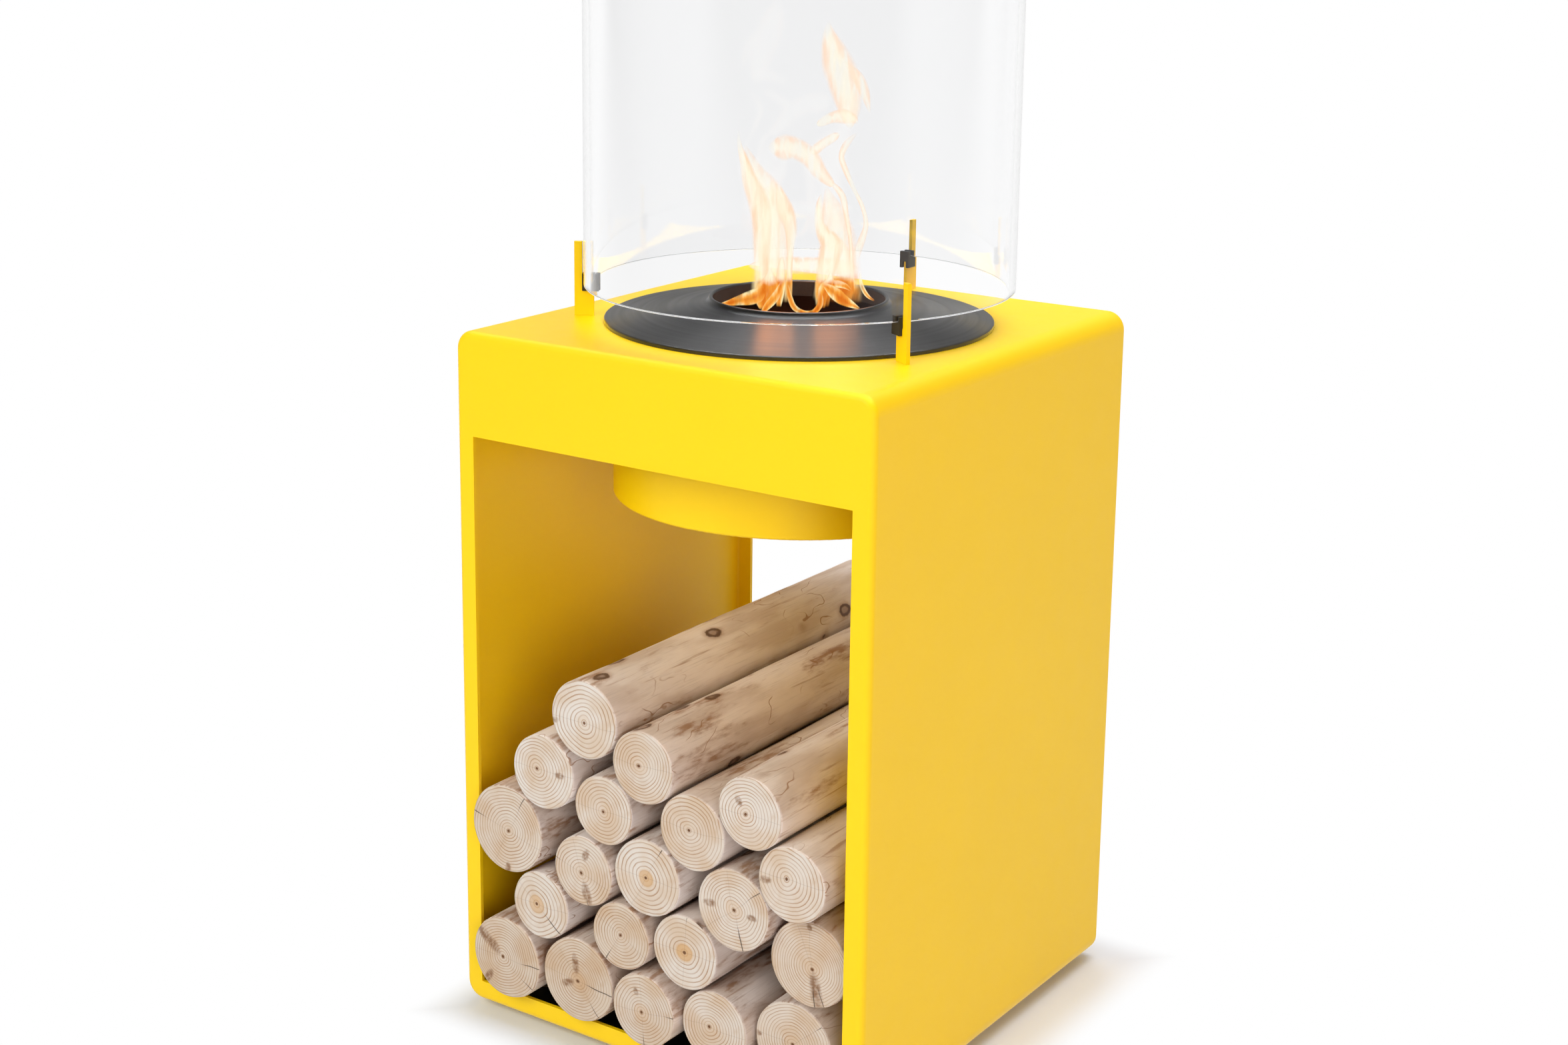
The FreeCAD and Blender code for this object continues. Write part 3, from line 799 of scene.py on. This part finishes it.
class FIREPLACE_OT_logs(bpy.types.Operator):
    """Model the peeled pine logs"""
    bl_idname = "fireplace.logs"
    bl_label = "Logs"

    def execute(self, context):
        names = sorted(named("log_"))
        if names != sorted(LOG_MARKS):
            raise RuntimeError("The frame's logs are not the ones that LOG_MARKS describes")
        settings = context.scene.fireplace_logs
        draw = random.Random(settings.seed)
        wood = context.scene.fireplace_wood
        materials = [peeled_material(wood), end_grain_material(wood, settings.wobble)]
        for order, name in enumerate(names):
            self.log(settings, draw, materials, order, name)
        return {"FINISHED"}

    def log(self, settings, draw, materials, order, name):
        low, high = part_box(name)
        middle = (low + high) / 2
        radius, reach = (high.z - low.z) / 2, high.y - low.y
        bm = bmesh.new()
        bmesh.ops.create_cone(bm, cap_ends=True, cap_tris=False, segments=settings.sides, radius1=radius,
                              radius2=radius, depth=reach)
        bmesh.ops.rotate(bm, verts=bm.verts, cent=(0, 0, 0), matrix=Matrix.Rotation(math.pi / 2, 3, "X"))
        sides = [e for e in bm.edges if e.calc_length() > reach / 2]
        bmesh.ops.subdivide_edges(bm, edges=sides, cuts=settings.stations, use_grid_fill=True)
        rims = [e for e in bm.edges if all(abs(abs(v.co.y) - reach / 2) < SAME for v in e.verts)]
        round_edges(bm, rims, settings.rim, 2)
        bmesh.ops.poke(bm, faces=[f for f in bm.faces if len(f.verts) > 4])
        self.uneven(settings, draw, bm, radius)
        self.mark(bm, order, name, radius)
        for face in bm.faces:
            face.material_index = int(abs(face.normal.y) > END_ON)
        bmesh.ops.translate(bm, verts=bm.verts, vec=middle)
        smooth(bm)
        piece("peeled_" + name, bm, materials, name, [name])

    def uneven(self, settings, draw, bm, radius):
        """Dents the surface inwards from its round envelope."""
        start = Vector([draw.uniform(-DENT_SHIFT, DENT_SHIFT) for _ in range(3)])
        for vert in bm.verts:
            place = Vector((vert.co.x, vert.co.y * DRAWN_OUT, vert.co.z)) / radius
            swell = noise.noise(place * BROAD + start) + FINE_SHARE * noise.noise(place * FINE + start)
            share = 1 - settings.unevenness * (MEAN_DENT + DENT_SWING * swell) / radius
            vert.co.x *= share
            vert.co.z *= share
        bm.normal_update()

    def mark(self, bm, order, name, radius):
        """Stores where each point lies in the log's grain, how the log grew and split, and the rind and tone
        that also paint shade on the sides of the lower logs.
        """
        mark = LOG_MARKS[name]
        pith = Vector((mark.pith[0] * MM, -GRAIN_STEP * order, mark.pith[1] * MM))
        values = {"habit": Vector((mark.tone, mark.warmth, mark.rings * MM))}
        for key, (turn, start) in zip(("split_a", "split_b"), (*mark.cracks, NO_CRACK, NO_CRACK)):
            values[key] = Vector((*direction(turn), start * radius))
        for key, (turn, start, end) in zip(("knot_a", "knot_b"), (*mark.knots, NO_KNOT, NO_KNOT)):
            reach = radius * (start + end) / 2
            x, z = direction(turn)
            values[key] = Vector((x * reach, z * reach, radius * (end - start) / 2))
        grain = bm.verts.layers.float_vector.new("grain")
        rind = bm.verts.layers.float.new("rind")
        layers = [(bm.verts.layers.float_vector.new(key), value) for key, value in values.items()]
        for vert in bm.verts:
            vert[grain] = vert.co - pith
            vert[rind] = mark.rind
            for layer, value in layers:
                vert[layer] = value


# Tongues of flame, on the upright plane that the photo's camera faces: place behind that plane (mm), density,
# and the points of the path as (across, height above the top, half width) in mm
TONGUES = (
    # veils of thin gas
    (12, 0.8, ((-38, 39, 0.6), (-28, 39, 4), (-10, 39.5, 5.5), (10, 39.5, 5.5), (30, 39, 5),
               (44, 38, 0.6))),
    (4, 0.55, ((-21, 14, 12), (-20, 40, 12), (-20, 70, 13), (-24, 92, 11), (-33, 110, 6), (-41, 130, 0.6))),
    (6, 0.55, ((29, 14, 15), (30, 40, 13), (28, 60, 12), (24, 80, 8), (19, 100, 0.6))),
    # left group
    (-4, 0.8, ((-28, 14, 4), (-28, 31, 4.4), (-28, 56, 5.4), (-28, 72, 6.1), (-31, 90, 6.8),
               (-37, 104, 5.2), (-41, 118, 3.2), (-45, 131, 1.5), (-46, 142, 0.3))),
    (6, 0.55, ((-20, 16, 6), (-21, 40, 5.8), (-21, 63, 6.4), (-22, 83, 7.5), (-21, 97, 5),
               (-19, 104, 0.6))),
    (-2, 0.8, ((-8, 14, 2.4), (-7, 49, 2), (-7, 70, 4.2), (-11, 83, 5.4), (-15, 96, 2.7), (-17, 103, 0.4))),
    (-8, 0.85, ((-15, 12, 1.4), (-14, 28, 3), (-13.5, 42, 2.4), (-13, 50, 0.4))),
    (-16, 0.95, ((-58, 15.5, 0.4), (-51, 16.5, 1.9), (-43, 18.5, 3.3), (-35, 20.5, 4.4), (-28, 24, 4),
                 (-24, 31, 1.6))),
    (-18, 1.0, ((-28, 9.5, 0.8), (-24, 14, 2.1), (-19, 20, 2.7), (-15.5, 26, 2.1), (-13.5, 33, 0.6))),
    (-14, 1.0, ((-27, 11, 2), (-26, 19, 6), (-23, 27, 7), (-22, 34, 4), (-22, 42, 0.6))),
    # loop between the groups
    (-20, 1.0, ((-9.5, 31, 0.8), (-7.5, 22, 1.5), (-4, 14, 1.7), (3, 10, 1.5), (10, 10.5, 1.6),
                (14.5, 15.5, 1.8), (15, 22, 1.6), (13.5, 28, 0.6))),
    # right group
    (-6, 0.85, ((17, 12, 4), (18, 28, 5.4), (20.5, 45, 6.8), (23, 58, 7.2), (17, 67, 4.8), (13.7, 76, 3),
                (13.7, 88, 2.2), (15, 96, 0.4))),
    (4, 0.6, ((33, 14, 5), (34, 28, 6), (34, 42, 5.4), (31, 53, 4.8), (27, 61, 2.4), (26, 64, 0.4))),
    (0, 0.6, ((40, 20, 1.4), (39.6, 28, 1.5), (38.5, 45, 1.3), (37, 63, 1.3), (34, 79, 1.7), (31, 93, 2.2),
              (25, 101, 1.6), (21, 104, 0.4))),
    (6, 0.6, ((41, 45, 2.6), (46, 60, 2.4), (49, 72, 1.6), (46, 85, 1.4), (40, 97, 1.3), (33.5, 111, 1.9),
              (30, 122, 1.9), (34, 132, 2.2), (41, 139, 0.6))),
    (-16, 0.95, ((55, 18.5, 0.4), (50, 22, 1.1), (46.5, 27, 1.3), (44.5, 33, 1.1), (44, 40, 0.5))),
    (-18, 1.0, ((44, 13, 0.5), (38, 16, 2.1), (31, 20, 3.5), (25, 25, 3.7), (20, 29, 2.1), (17, 31, 0.8))),
    (-10, 0.95, ((14, 23, 0.8), (18, 28, 2), (26, 30, 2.4), (33, 28.5, 1.8), (38, 25, 0.6))),
    (-12, 1.0, ((16.5, 12, 1.9), (17, 21, 3), (19, 27, 3.8), (22, 33, 2.4), (23, 40, 0.4))),
    # drifting flame
    (0, 0.6, ((24, 101, 1), (22, 103, 2.7), (14, 111, 4.8), (7, 121, 6), (-3, 128, 6.8), (-13, 129, 8),
              (-20, 129, 5), (-24, 129, 0.6))),
    (2, 0.55, ((6, 125, 1), (10, 127, 3.2), (16.5, 132, 3), (24.5, 137, 2.6), (28, 139.5, 0.5))),
    (0, 0.65, ((11, 146, 0.6), (14, 147, 2.4), (22, 151, 3.6), (31, 152, 4.6), (38, 150, 2.8),
               (41, 147, 0.5))),
    (0, 0.65, ((36, 143, 0.8), (35, 150, 5), (34, 161, 8), (31, 175, 10), (26, 189, 10), (22, 201, 7.5),
               (19, 212, 4), (18.5, 221, 0.4))),
    (3, 0.55, ((31, 192, 0.6), (35, 187, 2.2), (41, 179, 3.8), (46, 168, 3.2), (50, 154, 0.4))),
)


class FIREPLACE_OT_flames(bpy.types.Operator):
    """Model the flames as soft tongues of gas over the burner's mouth"""
    bl_idname = "fireplace.flames"
    bl_label = "Flames"

    def execute(self, context):
        turn = context.scene.fireplace_studio.azimuth
        self.right = Vector((math.cos(turn), math.sin(turn), 0.0))
        self.away = Vector((-math.sin(turn), math.cos(turn), 0.0))
        flame = context.scene.fireplace_flame
        material = flame_material(flame)
        for order, tongue in enumerate(TONGUES, 1):
            bm = self.tongue(flame, *tongue)
            piece("flame_%02d" % order, bm, [material], "burner")
        return {"FINISHED"}

    def curve(self, knots, share):
        """Point of a smooth curve through the knots."""
        spot = share * (len(knots) - 1)
        index = min(int(spot), len(knots) - 2)
        t = spot - index
        a, b, c, d = (Vector(knots[min(max(index + k, 0), len(knots) - 1)]) for k in (-1, 0, 1, 2))
        bend = (2 * a - 5 * b + 4 * c - d) * t ** 2 + (3 * b - a - 3 * c + d) * t ** 3
        return (2 * b + (c - a) * t + bend) / 2

    def heading(self, knots, share, step=0.01):
        """Direction of the curve through the knots."""
        ahead = self.curve(knots, min(share + step, 1.0)) - self.curve(knots, max(share - step, 0.0))
        return (self.right * ahead.x + Vector((0, 0, ahead.y))).normalized()

    def tongue(self, flame, back, dense, knots):
        """A flattened tube along the knots. It stores height, density and place across for the material."""
        bm = bmesh.new()
        lick = bm.verts.layers.float_vector.new("lick")
        before = None
        for step in range(flame.rings + 1):
            share = step / flame.rings
            u, z, half = self.curve(knots, share) * MM
            run = self.heading(knots, share)
            side = run.cross(self.away)
            centre = self.right * u + self.away * back * MM + Vector((0, 0, TOP_Z + z))
            half = max(half * flame.fullness, flame.thinnest)
            shape = Matrix((side * half, self.away * half * flame.flatness, run * half)).transposed().to_4x4()
            made = bmesh.ops.create_circle(bm, cap_ends=step in (0, flame.rings), segments=flame.sides,
                                           radius=1.0, matrix=Matrix.Translation(centre) @ shape)
            ring = set(made["verts"])
            fade = min(1.0, share / flame.fade_in) * min(1.0, (1 - share) / flame.fade_out)
            for vert in ring:
                vert[lick] = (vert.co.z - TOP_Z, fade * dense, abs((vert.co - centre).dot(side)) / half)
            edges = [edge for edge in bm.edges if ring.issuperset(edge.verts)]
            if before:
                bmesh.ops.bridge_loops(bm, edges=before + edges)
            before = edges
        bmesh.ops.recalc_face_normals(bm, faces=bm.faces)
        smooth(bm, degrees=75)
        return bm


# Softboxes, with their places and sizes in metres
Softbox = namedtuple("Softbox", "place size watts tone")
SOFTBOXES = {
    "key_softbox": Softbox((-0.7, -2.4, 1.8), 1.8, 54.0, (0.99, 1.0, 0.95)),
    "fill_softbox": Softbox((1.5, -1.45, 0.6), 0.9, 12.5, (1.0, 0.91, 0.87)),
    "top_softbox": Softbox((0.4, 0.4, 2.4), 1.6, 38.0, WHITE),
    "side_softbox": Softbox((1.9, 0.1, 0.7), 1.1, 4.0, (1.0, 0.56, 0.62)),
    "rear_softbox": Softbox((-1.4, 1.8, 1.1), 1.2, 17.0, (1.0, 0.98, 0.95)),
}


class FIREPLACE_OT_stage(bpy.types.Operator):
    """Set the floor, the light and the camera"""
    bl_idname = "fireplace.stage"
    bl_label = "Studio"

    def execute(self, context):
        studio = context.scene.fireplace_studio
        self.floor(studio)
        self.world(context.scene, studio)
        self.lamps(context.scene, studio)
        self.camera(context.scene, studio)
        context.scene.view_settings.view_transform = "Standard"
        return {"FINISHED"}

    def floor(self, studio):
        bm = bmesh.new()
        bmesh.ops.create_grid(bm, x_segments=1, y_segments=1, size=studio.floor_reach)
        mesh_object("studio_floor", bm, [floor_material(studio)])

    def world(self, scene, studio):
        """White backdrop that casts a weak light. In reflections it is dim in front and bright above."""
        scene.world = bpy.data.worlds.new("studio_world")
        scene.world.use_nodes = True
        tree = scene.world.node_tree
        backdrop = tree.nodes["Background"].inputs
        _, y, z = put(tree, "ShaderNodeTexCoord")["Generated"].parts()
        behind = y.ramp(-0.95, 0.6, start=studio.reflected_front, end=studio.reflected_behind)
        above = z.ramp(0.6, 0.95, end=studio.reflected_above)
        ambient = y.ramp(-0.6, 0.6, start=studio.ambient_front, end=studio.ambient_behind)
        clear, mirrored = ray_masks(tree)
        wire(WHITE, backdrop["Color"])
        wire(mirrored.choose(clear.choose(ambient, 1.0), behind + above), backdrop["Strength"])

    def lamps(self, scene, studio):
        aim = Vector((0.0, 0.0, studio.aim_height))
        for name, softbox in SOFTBOXES.items():
            data = bpy.data.lights.new(name, "AREA")
            data.shape = "SQUARE"
            data.size = softbox.size
            data.energy = softbox.watts
            data.color = softbox.tone
            lamp = bpy.data.objects.new(name, data)
            lamp.location = softbox.place
            lamp.rotation_euler = (aim - Vector(softbox.place)).to_track_quat("-Z", "Y").to_euler()
            lamp.visible_camera = False
            lamp.visible_transmission = False
            lamp.visible_glossy = False
            scene.collection.objects.link(lamp)

    def camera(self, scene, studio):
        data = bpy.data.cameras.new("photo_camera")
        data.lens = studio.lens
        data.shift_x, data.shift_y = studio.shift
        camera = bpy.data.objects.new("photo_camera", data)
        turn = Matrix.Rotation(studio.azimuth, 4, "Z")
        tilt = Matrix.Rotation(math.pi / 2 - studio.elevation, 4, "X")
        roll = Matrix.Rotation(studio.roll, 4, "Z")
        camera.matrix_world = Matrix.Translation(studio.camera_place) @ turn @ tilt @ roll
        scene.collection.objects.link(camera)
        scene.camera = camera


class FIREPLACE_PT_panel(bpy.types.Panel):
    """Fireplace dresser"""
    bl_idname = "FIREPLACE_PT_panel"
    bl_label = "Fireplace"
    bl_space_type = "VIEW_3D"
    bl_region_type = "UI"
    bl_category = "Fireplace"

    def draw(self, context):
        for operator in OPERATORS:
            self.layout.operator(operator.bl_idname)


SETTINGS = {
    "fireplace_finish": FinishSettings,
    "fireplace_wood": WoodSettings,
    "fireplace_burner": BurnerSettings,
    "fireplace_glass": GlassSettings,
    "fireplace_logs": LogSettings,
    "fireplace_flame": FlameSettings,
    "fireplace_studio": StudioSettings,
}
OPERATORS = (FIREPLACE_OT_housing, FIREPLACE_OT_fittings, FIREPLACE_OT_burner_plate, FIREPLACE_OT_glass,
             FIREPLACE_OT_logs, FIREPLACE_OT_flames, FIREPLACE_OT_stage)


def register():
    for kind in (*SETTINGS.values(), *OPERATORS, FIREPLACE_PT_panel):
        bpy.utils.register_class(kind)
    for name, kind in SETTINGS.items():
        setattr(bpy.types.Scene, name, PointerProperty(type=kind))


def unregister():
    for name in SETTINGS:
        delattr(bpy.types.Scene, name)
    for kind in (FIREPLACE_PT_panel, *reversed(OPERATORS), *SETTINGS.values()):
        bpy.utils.unregister_class(kind)


def main():
    register()
    bpy.ops.fireplace.housing()
    bpy.ops.fireplace.fittings()
    bpy.ops.fireplace.burner_plate()
    bpy.ops.fireplace.glass()
    bpy.ops.fireplace.logs()
    bpy.ops.fireplace.flames()
    bpy.ops.fireplace.stage()


if __name__ == "__main__":
    main()
